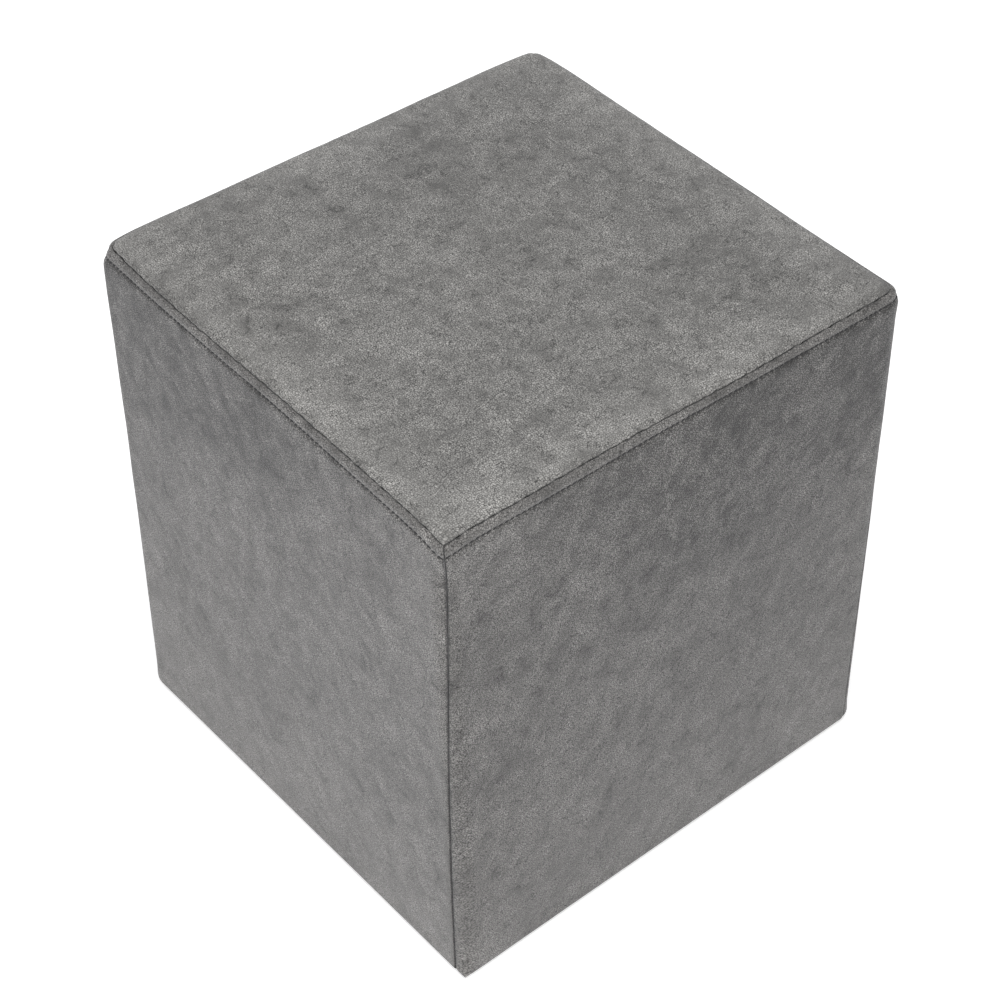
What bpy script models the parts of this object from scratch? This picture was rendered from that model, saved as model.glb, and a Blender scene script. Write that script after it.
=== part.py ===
"""Cube pouf stool: a square foam seat in a tight cover of grey suede cloth.

The cover is cut as one top panel, four side panels and one base panel. The top panel and the
filling that it covers are one crowned solid. The side and base panels are sheets that close
round that filling, and each meets its neighbours at a sewn edge.

All lengths are in metres, +Z is up, and the pouf stands on the plane z = 0.
"""

import math

import bmesh
import bpy
from mathutils import Matrix, Vector

# The body
WIDTH = 0.370
HALF = WIDTH / 2
SHOULDER_HEIGHT = 0.400
SHOULDER_RADIUS = 0.0126
FOOT_RADIUS = 0.0060
CORNER_RADIUS = 0.0140

# The cloth
CLOTH = 0.0025
SEAM_GAP = 0.0004
FILLING_GAP = 0.0006
TOP_SEAM_TILT = math.radians(52)
BASE_SEAM_TILT = math.radians(-70)
SEAM_DEPTH = 0.0011
SEAM_SPREAD = 0.0026
SEAM_CREASE = SEAM_SPREAD / 3
STITCH_DROP = 0.0067
STITCH_DEPTH = 0.0006
STITCH_SPREAD = 0.0021

# What the filling does to the cover
CROWN = 0.0030
SIDE_SWELL = 0.0018
CORNER_DIP_REACH = 16
CORNER_DIP_FADE = 6
FOOT_TWIST = 0.0258
FOOT_LEAN = Vector((-0.0040, -0.0009, 0.0))
FOOT_POWER = 1.5

# How far each top corner sinks under the plane of the others, by the signs of its X and Y
CORNER_DIPS = {
    (-1, -1): 0.0100,
    (1, -1): 0.0020,
    (1, 1): 0.0060,
    (-1, 1): 0.0090,
}

# How finely each panel is divided
STRAIGHT_STEPS = 7
ARC_STEPS = 3
WALL_STEPS = 10
TOP_RINGS = 5
FOOT_TURNS = (1.0, 0.68, 0.36, 0.0)
TOP_ROLL_TURNS = (0.6, 1.0)
SMOOTH_ANGLE = math.radians(40)

# The finishes
TOP_GREY = (0.215, 0.215, 0.218)
SIDE_GREY = (0.198, 0.197, 0.200)
BASE_GREY = (0.060, 0.060, 0.062)
CLOTH_ROUGHNESS = 0.9

# The panel on the side that faces -Y is made first, and each next one is a quarter turn round
SIDE_NAMES = ("side_front", "side_right", "side_back", "side_left")
QUARTER = math.pi / 2


def make_material(name, colour):
    """Returns a plain matt cloth finish."""
    material = bpy.data.materials.new(name)
    material.use_nodes = True
    shader = material.node_tree.nodes["Principled BSDF"]
    shader.inputs["Base Color"].default_value = (*colour, 1.0)
    shader.inputs["Roughness"].default_value = CLOTH_ROUGHNESS
    shader.inputs["Metallic"].default_value = 0.0
    return material


def valley(distance, spread, depth):
    """Depth of a sewn valley at a distance from its line."""
    nearness = max(0.0, 1.0 - abs(distance) / spread)
    return depth * nearness * nearness


class Section:
    """A level of the cover, where a round-cornered outline runs right round the body.

    tilt is the angle of the cloth's outward face: 0 is level, 90 degrees looks straight up.
    seam_distance is how far the level lies from the top seam, measured on the cloth.
    """

    def __init__(self, inset, height, tilt, seam_distance):
        self.inset = inset
        self.height = height
        self.tilt = tilt
        self.seam_distance = seam_distance

    def corner_radius(self, depth):
        """Radius of the outline's corners at a depth under the cloth's face."""
        return CORNER_RADIUS - self.inset - depth * math.cos(self.tilt)

    def seam_shift(self):
        """Angle by which a corner seam lies off its corner, because the seams hang straight
        while the foot of the filling is turned in them."""
        slack = (1 - min(1.0, self.height / SHOULDER_HEIGHT)) ** FOOT_POWER
        corner_reach = math.hypot(HALF - CORNER_RADIUS, HALF - CORNER_RADIUS)
        return FOOT_TWIST * slack * corner_reach / CORNER_RADIUS

    def channel(self):
        """Depth that the top seam and the topstitching press into the cloth."""
        seam = valley(self.seam_distance, SEAM_SPREAD, SEAM_DEPTH)
        stitches = 0.0
        if self.tilt < TOP_SEAM_TILT:
            stitches = valley(self.seam_distance - STITCH_DROP, STITCH_SPREAD, STITCH_DEPTH)
        return seam + stitches


def shoulder_section(tilt):
    """A level on the rounded edge between the side panels and the top panel."""
    inset = SHOULDER_RADIUS * (1 - math.cos(tilt))
    height = SHOULDER_HEIGHT - SHOULDER_RADIUS * (1 - math.sin(tilt))
    return Section(inset, height, tilt, SHOULDER_RADIUS * abs(TOP_SEAM_TILT - tilt))


def wall_section(height):
    """A level on the upright part of the side panels."""
    shoulder_start = SHOULDER_HEIGHT - SHOULDER_RADIUS
    return Section(0.0, height, 0.0, shoulder_start - height + SHOULDER_RADIUS * TOP_SEAM_TILT)


def foot_section(tilt):
    """A level on the rounded edge between the side panels and the base panel."""
    inset = FOOT_RADIUS * (1 - math.cos(tilt))
    height = FOOT_RADIUS * (1 + math.sin(tilt))
    return Section(inset, height, tilt, SHOULDER_HEIGHT)


def outline_point(section, side, share, angle, depth):
    """A point of the outline at a depth under the cloth's face, before the filling settles.

    share runs from -1 to 1 along the straight middle of a side, and angle goes on from either
    end of it round the corner.
    """
    inset = section.inset + depth * math.cos(section.tilt)
    height = section.height - depth * math.sin(section.tilt)
    radius = section.corner_radius(depth)
    straight = HALF - inset - radius
    across = share * straight + math.copysign(radius * math.sin(abs(angle)), angle)
    outward = straight + radius * math.cos(angle)
    return Matrix.Rotation(QUARTER * side, 3, "Z") @ Vector((across, -outward, height))


def settle(point):
    """Moves a point of the plain cover to where the filling carries it."""
    level = min(1.0, point.z / SHOULDER_HEIGHT)
    reach_x = point.x / HALF
    reach_y = point.y / HALF
    swell = SIDE_SWELL * math.sin(math.pi * level)
    near_top = max(0.0, 1 - (SHOULDER_HEIGHT - point.z) / SHOULDER_RADIUS)
    crown = CROWN * (1 - reach_x**2) * (1 - reach_y**2) * near_top
    corner = (1 if point.x > 0 else -1, 1 if point.y > 0 else -1)
    nearness = abs(reach_x * reach_y) ** CORNER_DIP_REACH * level**CORNER_DIP_FADE
    dip = CORNER_DIPS[corner] * nearness
    settled = Vector((
        point.x + swell * reach_x * (1 - reach_y**2),
        point.y + swell * reach_y * (1 - reach_x**2),
        point.z + crown - dip,
    ))
    slack = (1 - level) ** FOOT_POWER
    return Matrix.Rotation(FOOT_TWIST * slack, 3, "Z") @ settled + FOOT_LEAN * slack


def side_sections():
    """Levels of a side panel, from its edge at the base up to its edge at the top panel."""
    foot_edge = BASE_SEAM_TILT + SEAM_GAP / 2 / (FOOT_RADIUS - CLOTH)
    foot = [foot_section(foot_edge * share) for share in FOOT_TURNS]
    wall_top = SHOULDER_HEIGHT - SHOULDER_RADIUS
    walls = [wall_section(wall_top * step / WALL_STEPS) for step in range(1, WALL_STEPS)]
    top_edge = TOP_SEAM_TILT - SEAM_GAP / 2 / (SHOULDER_RADIUS - CLOTH)
    stitches = (STITCH_DROP + STITCH_SPREAD, STITCH_DROP, STITCH_DROP - STITCH_SPREAD)
    drops = stitches + (SEAM_SPREAD, SEAM_CREASE)
    shoulder = [shoulder_section(TOP_SEAM_TILT - drop / SHOULDER_RADIUS) for drop in drops]
    return foot + walls + shoulder + [shoulder_section(top_edge)]


def columns_across():
    """Places across a side panel, as pairs of a share of its straight part and a share of the
    way round the corner to its sewn edge."""
    straight = [(-1 + 2 * step / STRAIGHT_STEPS, 0.0) for step in range(STRAIGHT_STEPS + 1)]
    round_corner = [(1.0, (step + 1) / ARC_STEPS) for step in range(ARC_STEPS)]
    # One more column beside the edge lets the cloth turn in at the seam
    round_corner.insert(ARC_STEPS - 1, (1.0, 1 - 1 / (2 * ARC_STEPS)))
    mirrored = [(-share, -turn) for share, turn in reversed(round_corner)]
    return mirrored + straight + round_corner


def panel_point(section, side, column, depth, gap):
    """A settled point of a side panel, or of the filling close behind it."""
    share, turn = column
    shift = section.seam_shift()
    reach = math.pi / 4 + shift if turn < 0 else math.pi / 4 - shift
    radius = section.corner_radius(depth)
    edge_angle = reach - gap / 2 / radius
    pressed = depth + section.channel()
    if turn:
        from_seam = radius * reach * (1 - abs(turn))
        pressed += valley(from_seam, SEAM_SPREAD, SEAM_DEPTH) * math.cos(section.tilt)
    return settle(outline_point(section, side, share, turn * edge_angle, pressed))


def side_panel(bm, side):
    """One side panel: a grid of its levels and columns, extruded to the cloth's thickness."""
    sections = side_sections()
    columns = columns_across()
    bmesh.ops.create_grid(bm, x_segments=len(columns) - 1, y_segments=len(sections) - 1, size=0.5)
    face_side = bm.faces[:]
    extruded = bmesh.ops.extrude_face_region(bm, geom=face_side, use_keep_orig=True)
    outer = {item for item in extruded["geom"] if isinstance(item, bmesh.types.BMVert)}
    for vert in bm.verts:
        column = columns[round((vert.co.x + 0.5) * (len(columns) - 1))]
        section = sections[round((vert.co.y + 0.5) * (len(sections) - 1))]
        depth = 0.0 if vert in outer else CLOTH
        vert.co = panel_point(section, side, column, depth, SEAM_GAP)


def stack_rings(bm, rings):
    """Joins closed rings of points one above another and closes both ends."""
    verts = [bm.verts.new(point) for point in rings[0]]
    edges = [bm.edges.new((verts[i - 1], verts[i])) for i in range(len(verts))]
    bm.faces.new(verts)
    for ring in rings[1:]:
        extruded = bmesh.ops.extrude_edge_only(bm, edges=edges)["geom"]
        edges = [item for item in extruded if isinstance(item, bmesh.types.BMEdge)]
        new_verts = {vert for edge in edges for vert in edge.verts}
        # The extruded copy of a point lies on the point itself until it is moved
        places = {vert.co.copy().freeze(): vert for vert in new_verts}
        new_ring = [places[old.co.copy().freeze()] for old in verts]
        for vert, point in zip(new_ring, ring):
            vert.co = point
        verts = new_ring
    bm.faces.new(verts)


def full_ring(section, depth):
    """One level right round the body, behind the side panels."""
    columns = columns_across()[1:]
    return [
        panel_point(section, side, column, depth, 0.0)
        for side in range(len(SIDE_NAMES))
        for column in columns
    ]


def shrunk_ring(section, scale):
    """The level where the top panel has flattened, drawn in towards the middle."""
    ring = []
    for side in range(len(SIDE_NAMES)):
        for share, turn in columns_across()[1:]:
            point = outline_point(section, side, share, turn * math.pi / 4, 0.0)
            ring.append(settle(Vector((point.x * scale, point.y * scale, point.z))))
    return ring


def seat(bm):
    """The crowned top panel with its filling, as one solid inside the other panels."""
    behind = CLOTH + FILLING_GAP
    top_edge = TOP_SEAM_TILT + SEAM_GAP / 2 / (SHOULDER_RADIUS - CLOTH)
    flat_foot = foot_section(-QUARTER)
    rings = [full_ring(flat_foot, behind)]
    rings += [full_ring(section, behind) for section in side_sections()]
    rings.append(full_ring(shoulder_section(top_edge), behind))
    for drop in (0.0, SEAM_CREASE, SEAM_SPREAD):
        tilt = top_edge + drop / SHOULDER_RADIUS
        rings.append(full_ring(shoulder_section(tilt), 0.0))
    for share in TOP_ROLL_TURNS:
        tilt = tilt + (QUARTER - tilt) * share
        rings.append(full_ring(shoulder_section(tilt), 0.0))
    for step in range(1, TOP_RINGS):
        rings.append(shrunk_ring(shoulder_section(QUARTER), 1 - step / TOP_RINGS))
    stack_rings(bm, rings)


def base_panel(bm):
    """The flat panel under the pouf, with its edge turned up to meet the side panels."""
    edge = BASE_SEAM_TILT - SEAM_GAP / 2 / (FOOT_RADIUS - CLOTH)
    levels = ((-QUARTER, CLOTH), (edge, CLOTH), (edge, 0.0), (-QUARTER, 0.0))
    stack_rings(bm, [full_ring(foot_section(tilt), depth) for tilt, depth in levels])


def add_part(name, build, colour):
    """Makes one named object from a function that fills a bmesh."""
    bm = bmesh.new()
    build(bm)
    bmesh.ops.recalc_face_normals(bm, faces=bm.faces[:])
    mesh = bpy.data.meshes.new(name)
    bm.to_mesh(mesh)
    bm.free()
    mesh.shade_smooth()
    mesh.set_sharp_from_angle(angle=SMOOTH_ANGLE)
    part = bpy.data.objects.new(name, mesh)
    part.data.materials.append(make_material(f"{name}_cloth", colour))
    bpy.context.scene.collection.objects.link(part)
    return part


def centre_footprint(parts):
    """Moves all the parts alike, so that the origin is under the middle of their box."""
    points = [vert.co for part in parts for vert in part.data.vertices]
    centre = Vector([
        (min(point[axis] for point in points) + max(point[axis] for point in points)) / 2
        for axis in range(2)
    ] + [0.0])
    for part in parts:
        part.data.transform(Matrix.Translation(-centre))


def main():
    for old in list(bpy.data.objects):
        bpy.data.objects.remove(old, do_unlink=True)
    parts = [add_part("seat", seat, TOP_GREY), add_part("base_panel", base_panel, BASE_GREY)]
    for side, name in enumerate(SIDE_NAMES):
        parts.append(add_part(name, lambda bm, side=side: side_panel(bm, side), SIDE_GREY))
    centre_footprint(parts)


main()
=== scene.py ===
"""Cube pouf stool in grey suede cloth: the finish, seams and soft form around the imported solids.

The cover is thought of as a cube whose twelve edges are its seams. Every panel is a grid on one
face of that cube, and Body carries a point of the cube to its place on the pouf. The filling's
pressure is simulated once on a coarse copy of the whole cube, and each panel takes its share.

All lengths are in metres, +Z is up, and the pouf stands on the plane z = 0.
"""

import logging
import math
from dataclasses import dataclass, field
from enum import Enum

import bmesh
import bpy
import numpy as np
from mathutils import Matrix, Quaternion, Vector, noise


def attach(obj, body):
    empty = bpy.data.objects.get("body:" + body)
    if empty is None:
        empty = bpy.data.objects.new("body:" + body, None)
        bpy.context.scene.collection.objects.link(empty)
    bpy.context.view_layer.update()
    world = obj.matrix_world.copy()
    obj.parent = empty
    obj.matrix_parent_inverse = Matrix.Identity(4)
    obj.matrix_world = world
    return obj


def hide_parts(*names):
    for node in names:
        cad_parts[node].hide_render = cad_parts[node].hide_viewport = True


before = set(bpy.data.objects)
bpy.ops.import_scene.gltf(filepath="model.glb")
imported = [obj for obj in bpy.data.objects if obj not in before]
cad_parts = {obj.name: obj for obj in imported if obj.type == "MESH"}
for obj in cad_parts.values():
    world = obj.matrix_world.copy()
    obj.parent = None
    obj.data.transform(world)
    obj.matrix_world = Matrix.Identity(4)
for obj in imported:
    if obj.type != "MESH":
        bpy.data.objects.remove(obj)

log = logging.getLogger("pouf")

BODY = "root"
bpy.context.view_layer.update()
QUARTER = math.pi / 2
MM = 0.001
TINY = 1e-9  # keeps a division away from zero
ON_FACE = 1 - 1e-4  # past this, a coordinate of the cube from -1 to 1 lies on its face
SEAM_STEP = 0.00012  # first cell of a panel's mesh beside a seam
SEAM_GROWTH = 1.35  # how much each cell grows on the one nearer the seam
NOISE_FADE = 1.0  # how fast the finer layers of noise weaken
NOISE_STEP = 2.1  # how much finer each layer is than the one before
NOISE_LAYERS = 3
NOISE_SEED = 7  # the stitches draw their chances from it, so every run gives the same row

Colour = tuple[float, float, float]
Place = tuple[float, float, float]
Waves = tuple[tuple[float, ...], ...]
Surface = tuple[bpy.types.NodeSocket, bpy.types.NodeSocket]


class Side(Enum):
    """The four side panels, by their quarter turns from the one that faces -Y."""

    FRONT = 0
    RIGHT = 1
    BACK = 2
    LEFT = 3

    @property
    def node(self) -> str:
        """Name of the panel's solid in the frame."""
        return f"side_{self.name.lower()}"

    @property
    def along(self) -> np.ndarray:
        """Direction in which shares of the side grow."""
        turn = self.value * QUARTER
        return np.array([math.cos(turn), math.sin(turn), 0.0])

    @property
    def outward(self) -> np.ndarray:
        """Direction that the panel faces."""
        turn = self.value * QUARTER
        return np.array([math.sin(turn), -math.cos(turn), 0.0])


# ---------------------------------------------------------------------------------------------
# Form
# ---------------------------------------------------------------------------------------------


@dataclass(frozen=True)
class Seam:
    """How two panels turn in towards the line where they are sewn together."""

    gap: float = 0.0004
    fold_radius: float = 0.0013
    hollow_depth: float = 0.0003
    hollow_reach: float = 0.0050

    def depth(self, distance: np.ndarray) -> np.ndarray:
        """How far the cloth's face lies under its plain form.

        Args:
            distance: Cloth distance from the seam's line.

        Returns:
            The depth at each distance.
        """
        short = np.clip(self.fold_radius - distance, 0, self.fold_radius)
        fold = self.fold_radius - np.sqrt(self.fold_radius**2 - short**2)
        near = np.clip(1 - distance / self.hollow_reach, 0, 1)
        return fold + self.hollow_depth * near * near


def wander(waves: Waves, side: np.ndarray | int, share: np.ndarray) -> np.ndarray:
    """How far a hand-guided line strays along a side, which is 0 at both corners.

    Args:
        waves: For each side, the amounts of one, two, three and four half waves along it.
        side: Quarter turns from the side that faces -Y.
        share: Place along the side, from -1 at one corner seam to 1 at the other.

    Returns:
        The line's offset at each place.
    """
    amounts = np.array(waves)[np.broadcast_to(np.asarray(side), np.shape(share))]
    numbers = np.arange(1, amounts.shape[-1] + 1)
    way = (np.clip(share, -1, 1) + 1) / 2 * math.pi
    return np.sum(amounts * np.sin(way[..., None] * numbers), axis=-1)


@dataclass(frozen=True)
class StitchRow:
    """The topstitched row under the top seam, and what it does to the cloth."""

    drop: float = 0.0070
    pitch: float = 0.00423
    waves: Waves = (
        (0.00000, 0.00078, 0.00056, -0.00012),
        (0.00030, -0.00040, 0.00030, 0.00020),
        (-0.00020, 0.00050, -0.00040, 0.00010),
        (-0.00019, -0.00015, 0.00027, -0.00011),
    )
    channel_depth: float = 0.0007
    channel_spread: float = 0.0014
    hollow_depth: float = 0.00035
    hollow_spread: float = 0.0045
    band_height: float = 0.00055
    band_middle: float = 0.5
    band_spread: float = 0.0021
    bridge_height: float = 0.00035
    bridge_sharpness: float = 2.0
    pucker_depth: float = 0.00030
    pucker_length: float = 0.0075
    pucker_fade: float = 0.0090
    pucker_rise: float = 3.0
    pucker_slant: float = 0.5
    pucker_stretch: float = 0.6

    def line(self, side: np.ndarray | int, share: np.ndarray) -> np.ndarray:
        """The row's own distance under the top seam, at places along a side."""
        return self.drop + wander(self.waves, side, share)

    def pressed(self, drop: np.ndarray, line: np.ndarray | float) -> np.ndarray:
        """How far the row's tension presses the cloth in, with the band above it left proud.

        Args:
            drop: Cloth distance under the top seam.
            line: The row's distance under the top seam.

        Returns:
            The depth at each distance.
        """
        from_row = drop - line
        from_band = (drop - line * self.band_middle) / self.band_spread
        channel = self.channel_depth * np.exp(-((from_row / self.channel_spread) ** 2))
        hollow = self.hollow_depth * np.exp(-((from_row / self.hollow_spread) ** 2))
        return channel + hollow - self.band_height * np.exp(-from_band * from_band)

    def depth(
        self, across: np.ndarray, drop: np.ndarray, line: np.ndarray, seed: float
    ) -> np.ndarray:
        """How far the cloth lies under its plain form, with the bridges and puckers too.

        Args:
            across: Cloth distance along the row.
            drop: Cloth distance under the top seam.
            line: The row's distance under the top seam.
            seed: Place in the noise, so that no two panels pucker alike.

        Returns:
            The depth at each point.
        """
        from_row = drop - line
        near_row = np.exp(-self.bridge_sharpness * (from_row / self.channel_spread) ** 2)
        bridges = (0.5 + np.cos(across / self.pitch * math.tau) / 2) ** 2 * near_row
        below = np.clip(from_row, 0, None) / self.pucker_fade
        above = np.clip(-from_row, 0, None) / self.channel_spread
        reach = np.exp(-below - above / 2) * np.clip(below * self.pucker_rise + 0.5, 0, 1)
        slanted = across / self.pucker_length + below * self.pucker_slant
        puckers = noise_field(np.stack([slanted, below * self.pucker_stretch], axis=-1), seed)
        uneven = self.pucker_depth * puckers * reach - self.bridge_height * bridges
        return self.pressed(drop, line) + uneven


@dataclass(frozen=True)
class CornerShape:
    """What one upright corner does: how far its top sinks, how far its round is drawn to a point
    at the top seam and at the base seam, where 1 is a sharp corner, and how far up the shoulder
    the top seam is drawn there.
    """

    dip: float
    sharp_top: float = 0.0
    sharp_foot: float = 0.0
    seam_rise: float = 0.0


@dataclass(frozen=True)
class Body:
    """The soft cube's form, repeated from the solids' own sizes.

    A place on the cover is a side, a share of the way along it, and a drop, which is the cloth
    distance under the top seam and is negative on the top panel.
    """

    half: float = 0.185
    shoulder_height: float = 0.400
    shoulder_radius: float = 0.0126
    foot_radius: float = 0.0060
    corner_radius: float = 0.0140
    cloth: float = 0.0025
    filling_gap: float = 0.0006
    top_seam_tilt: float = math.radians(49)
    base_seam_tilt: float = math.radians(-70)
    crown: float = 0.0030
    side_swell: float = 0.0018
    dip_reach: int = 16
    dip_fade: int = 6
    foot_twist: float = 0.0258
    foot_lean: tuple[float, float] = (-0.0040, -0.0009)
    foot_power: float = 1.5
    top_centre: tuple[float, float] = (0.0036, 0.0009)
    top_point_fade: float = 0.0150
    foot_point_fade: float = 0.0110
    seam_drift: float = 0.0076
    seam_bow: float = 0.0014
    seam_bow_place: float = 0.1
    seam_rise_fade: float = 0.0200
    seam_rise_bend: int = 14
    ripple_height: float = 0.00013
    ripple_lengths: tuple[float, ...] = (0.0083, 0.0127, 0.0210)
    ripple_fade: float = 0.0035
    ripple_turn: float = 0.37
    ripple_ends: float = 10.0
    seam_waves: Waves = (
        (-0.00005, 0.00013, 0.00000, 0.00050),
        (0.00030, -0.00020, 0.00020, 0.00020),
        (-0.00020, 0.00040, -0.00010, -0.00020),
        (-0.00046, 0.00048, 0.00018, -0.00010),
    )
    seam: Seam = Seam()
    corners: dict[tuple[int, int], CornerShape] = field(default_factory=lambda: {
        (-1, -1): CornerShape(dip=0.0120, sharp_top=1.0, sharp_foot=1.0),
        (1, -1): CornerShape(dip=-0.0010, sharp_top=0.2, sharp_foot=0.2, seam_rise=0.0014),
        (1, 1): CornerShape(dip=0.0070, sharp_top=-0.3, sharp_foot=0.2),
        (-1, 1): CornerShape(dip=0.0095, sharp_top=-0.35, sharp_foot=0.2, seam_rise=0.0040),
    })

    @property
    def core(self) -> float:
        """Half the straight part of a side, between its rounded corners."""
        return self.half - self.corner_radius

    @property
    def corner_cloth(self) -> float:
        """Cloth from the straight part of a side round to its corner seam."""
        return self.corner_radius * math.pi / 4

    @property
    def half_side(self) -> float:
        """Half a side panel's width, measured on the cloth."""
        return self.core + self.corner_cloth

    @property
    def shoulder_cloth(self) -> float:
        """Cloth from the top seam down to the upright wall."""
        return self.shoulder_radius * self.top_seam_tilt

    @property
    def wall_height(self) -> float:
        """Height of the upright part of a side."""
        return self.shoulder_height - self.shoulder_radius - self.foot_radius

    @property
    def side_length(self) -> float:
        """Cloth from the top seam down to the base seam."""
        return self.shoulder_cloth + self.wall_height - self.foot_radius * self.base_seam_tilt

    @property
    def top_roll(self) -> float:
        """Cloth from the top seam up to the flat of the top panel."""
        return self.shoulder_radius * (QUARTER - self.top_seam_tilt)

    @property
    def flat_half(self) -> float:
        """Half the width of the flat of the top panel."""
        return self.half - self.shoulder_radius

    @property
    def half_top(self) -> float:
        """Half the top panel's width, measured on the cloth."""
        return self.flat_half + self.top_roll

    def profile(self, drop: np.ndarray) -> tuple[np.ndarray, np.ndarray, np.ndarray]:
        """The body's upright section.

        Args:
            drop: Cloth distance under the top seam.

        Returns:
            The inset from the widest outline, the height, and the tilt of the cloth's face,
            which is 0 where it stands upright and a quarter turn where it looks straight up.
        """
        shoulder = np.clip(self.top_seam_tilt - drop / self.shoulder_radius, 0, QUARTER)
        down = drop - self.shoulder_cloth
        foot = np.clip((down - self.wall_height) / self.foot_radius, 0, QUARTER)
        inset = self.shoulder_radius * (1 - np.cos(shoulder)) + self.foot_radius * (1 - np.cos(foot))
        height = self.shoulder_height - self.shoulder_radius * (1 - np.sin(shoulder))
        height = height - np.clip(down, 0, self.wall_height) - self.foot_radius * np.sin(foot)
        return inset, height, shoulder - foot

    def place(
        self,
        side: np.ndarray | int,
        share: np.ndarray,
        drop: np.ndarray,
        depth: np.ndarray | float = 0.0,
        gap: float = 0.0,
        even: bool = False,
    ) -> np.ndarray:
        """Places on the plain form, before it settles.

        Args:
            side: Quarter turns from the side that faces -Y.
            share: Place along the side, from -1 at one corner seam to 1 at the other.
            drop: Cloth distance under the top seam.
            depth: How far the place lies under the cloth's face.
            gap: Width of the gap between two panels at a corner seam.
            even: Whether shares are even lengths on this level, rather than on the wall.

        Returns:
            The points, one a row.
        """
        inset, height, tilt = self.profile(drop - self.seam_rise(side, share, drop))
        radius = self.corner_radius - inset - depth * np.cos(tilt)
        arc = (radius if even else self.corner_radius) * math.pi / 4
        straight = self.core / (self.core + arc)
        reach = math.pi / 4 - np.sign(share) * self.seam_shift(height)
        turn = np.clip((np.abs(share) - straight) / (1 - straight), 0, 1)
        angle = turn * (reach - gap / 2 / radius)
        along = np.clip(np.abs(share) / straight, 0, 1) * self.core + radius * np.sin(angle)
        across = np.sign(share) * along
        out = self.core + radius * np.cos(angle)
        cos, sin = np.cos(side * QUARTER), np.sin(side * QUARTER)
        level = height - depth * np.sin(tilt)
        return np.stack([across * cos + out * sin, across * sin - out * cos, level], axis=-1)

    def seam_rise(
        self, side: np.ndarray | int, share: np.ndarray, drop: np.ndarray
    ) -> np.ndarray:
        """How far up the shoulder the cloth is drawn, most at the corners and a little on the way.

        Args:
            side: Quarter turns from the side that faces -Y.
            share: Place along the side.
            drop: Cloth distance under the top seam.

        Returns:
            The rise at each place, which is 0 on the flat of the top and down on the wall.
        """
        around_top = ((-1, -1), (1, -1), (1, 1), (-1, 1))
        rises = np.array([self.corners[signs].seam_rise for signs in around_top])
        turns = np.broadcast_to(np.asarray(side), np.shape(drop))
        start, end = rises[turns], rises[(turns + 1) % 4]
        way = (np.clip(share, -1, 1) + 1) / 2
        rise = start * (1 - way) ** self.seam_rise_bend + end * way**self.seam_rise_bend
        rise = rise - wander(self.seam_waves, turns, share)
        over = np.clip(1 + drop / self.top_roll, 0, 1)
        under = np.exp(-((np.clip(drop, 0, None) / self.seam_rise_fade) ** 2))
        near_seam = np.exp(-((drop / self.ripple_fade) ** 2))
        return rise * over * under + self.ripple(turns, share) * near_seam

    def ripple(self, side: np.ndarray, share: np.ndarray) -> np.ndarray:
        """The small wobble of the top seam's line, from the feed of the cloth as it was sewn.

        Args:
            side: Quarter turns from the side that faces -Y.
            share: Place along the side.

        Returns:
            How far up the line is drawn at each place, which is 0 at both corners.
        """
        across = share * self.half_side
        start = side * self.ripple_turn
        wobble = sum(np.sin((across / length + start) * math.tau) for length in self.ripple_lengths)
        return self.ripple_height * wobble * np.clip((1 - share**2) * self.ripple_ends, 0, 1)

    def seam_shift(self, height: np.ndarray) -> np.ndarray:
        """Angle by which the corner seams lie off their corners, because they hang straight
        while the foot of the filling is turned in them.

        Args:
            height: Height over the surface that the pouf stands on.

        Returns:
            The angle at each height.
        """
        down = np.clip(1 - height / self.shoulder_height, 0, 1)
        early = down / self.seam_bow_place
        shift = self.seam_drift * down * down * (3 - 2 * down)
        return (shift - self.seam_bow * early * np.exp(1 - early)) / self.corner_radius

    def settle(self, points: np.ndarray) -> np.ndarray:
        """Moves points of the plain form to where the filling carries them.

        Args:
            points: Points, one a row, about the middle of the top.

        Returns:
            The settled points, in the frame.
        """
        x, y, z = points.T
        level = np.clip(z / self.shoulder_height, 0, 1)
        near_x, near_y = np.abs(x / self.half), np.abs(y / self.half)
        nearness = (near_x * near_y) ** self.dip_reach * level**self.dip_fade
        dip = np.zeros_like(z)
        sharpness = np.zeros_like(z)
        under_top = np.clip(self.seam_height - z, 0, None) / self.top_point_fade
        over_foot = z / self.foot_point_fade
        near_top, near_foot = np.exp(-under_top * under_top), np.exp(-over_foot * over_foot)
        for (sign_x, sign_y), corner in self.corners.items():
            here = (np.sign(x) * sign_x >= 0) & (np.sign(y) * sign_y >= 0)
            dip = np.where(here, corner.dip * nearness, dip)
            drawn = corner.sharp_top * near_top + corner.sharp_foot * near_foot
            sharpness = np.where(here, drawn, sharpness)
        draw = 1 + sharpness * (self.squaring(x, y) - 1)
        x, y = self.drawn_out(x, draw), self.drawn_out(y, draw)
        slack = (1 - level) ** self.foot_power
        cos, sin = np.cos(self.foot_twist * slack), np.sin(self.foot_twist * slack)
        return np.stack([
            x * cos - y * sin + self.foot_lean[0] * slack + self.top_centre[0],
            x * sin + y * cos + self.foot_lean[1] * slack + self.top_centre[1],
            z - dip,
        ], axis=-1)

    @property
    def seam_height(self) -> float:
        """Height of the top seam before its corners sink."""
        return self.shoulder_height - self.shoulder_radius * (1 - math.sin(self.top_seam_tilt))

    def squaring(self, x: np.ndarray, y: np.ndarray) -> np.ndarray:
        """Factor that carries a round corner out to a square one, at places about its middle.

        Args:
            x: Distance from the pouf's middle.
            y: Distance from it the other way.

        Returns:
            The factor at each place, which is 1 off the corners.
        """
        past_x = np.clip(np.abs(x) - self.core, 0, None)
        past_y = np.clip(np.abs(y) - self.core, 0, None)
        return np.hypot(past_x, past_y) / np.maximum(np.maximum(past_x, past_y), TINY)

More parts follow.
